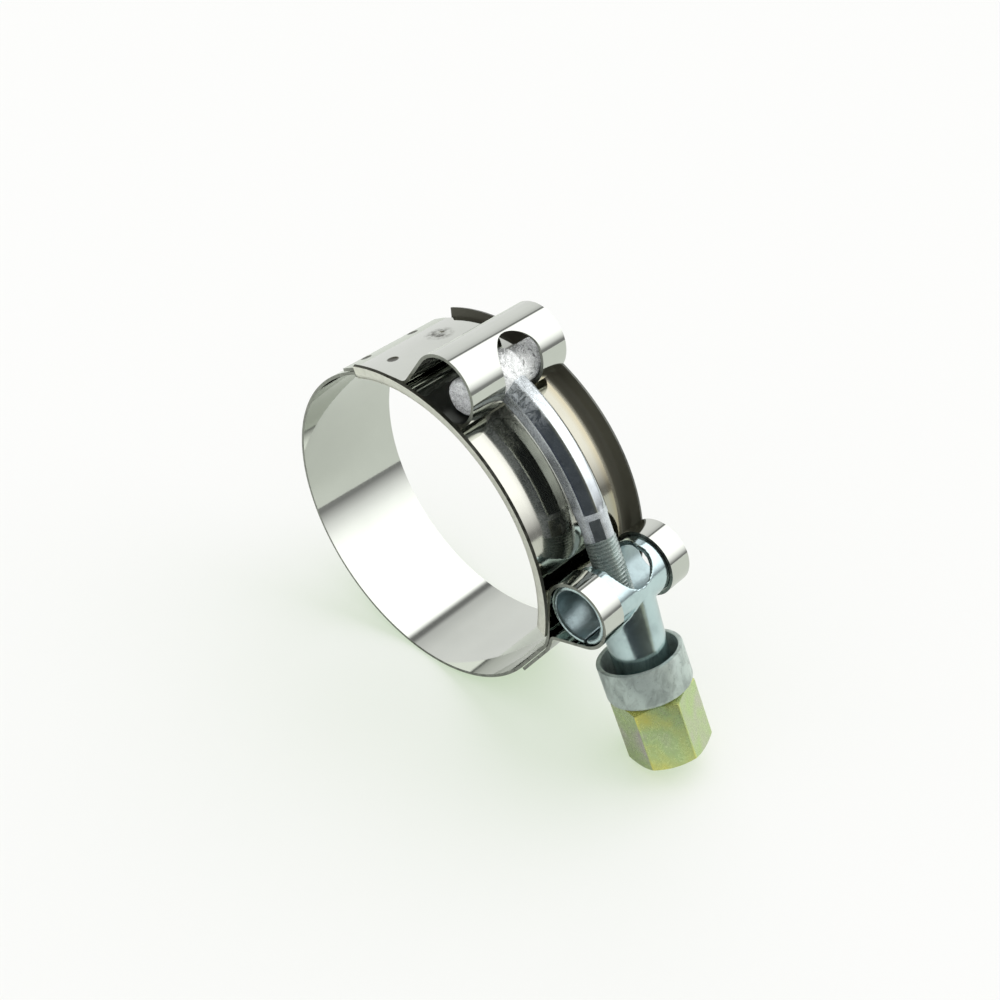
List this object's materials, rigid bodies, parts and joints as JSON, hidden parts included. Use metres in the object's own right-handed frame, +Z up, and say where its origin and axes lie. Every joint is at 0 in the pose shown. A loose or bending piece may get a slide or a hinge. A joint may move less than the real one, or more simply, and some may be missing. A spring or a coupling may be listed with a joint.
{
  "type": "t-bolt clamp",
  "caption": "Round band clamp for hoses and pipes: a looped strip with a bridge over its gap, closed by a T-headed bolt that runs through a pivoting sleeve into a tall nut.",
  "frame": {"origin": "centre of the clamped pipe, half way along the band's width", "axes": "+Y along the pipe, +Z up, with the band and the nut's lower end resting on one level plane"},
  "size_m": [0.096, 0.0282, 0.0776],
  "materials": {
    "band": "polished stainless steel strip",
    "bridge": "bright stainless steel, slightly warm",
    "t_bolt": "bright zinc",
    "trunnion": "bluish zinc",
    "cup": "dull grey zinc",
    "nut": "yellow chromate over zinc"
  },
  "bodies": {
    "band": {"band": "band", "bridge": "bridge"},
    "t_bolt": {"t_bolt": "t_bolt"},
    "trunnion": {"trunnion": "trunnion"},
    "cup": {"cup": "cup"},
    "nut": {"nut": "nut"}
  },
  "joints": [
    {"name": "bolt_pivot", "type": "hinge", "parent": "band", "child": "t_bolt", "pos_m": [0.01295, 0, 0.03567], "axis": [0, -1, 0], "range_deg": [-0.3, 0.8]},
    {"name": "trunnion_pivot", "type": "hinge", "parent": "band", "child": "trunnion", "pos_m": [0.04142, 0, 0.00342], "axis": [0, -1, 0], "range_deg": [-1, 1.5]},
    {"name": "cup_slide", "type": "slide", "parent": "t_bolt", "child": "cup", "axis": [0.4196, 0, -0.9077], "range_m": [0, 0.008]},
    {"name": "nut_turn", "type": "hinge", "parent": "cup", "child": "nut", "pos_m": [0.04998, 0, -0.01782], "axis": [0.4196, 0, -0.9077], "range_deg": [0, 3840]}
  ],
  "couplings": [
    {"joint": "nut_turn", "follows": "cup_slide", "rad_per_m": 8377.6}
  ]
}
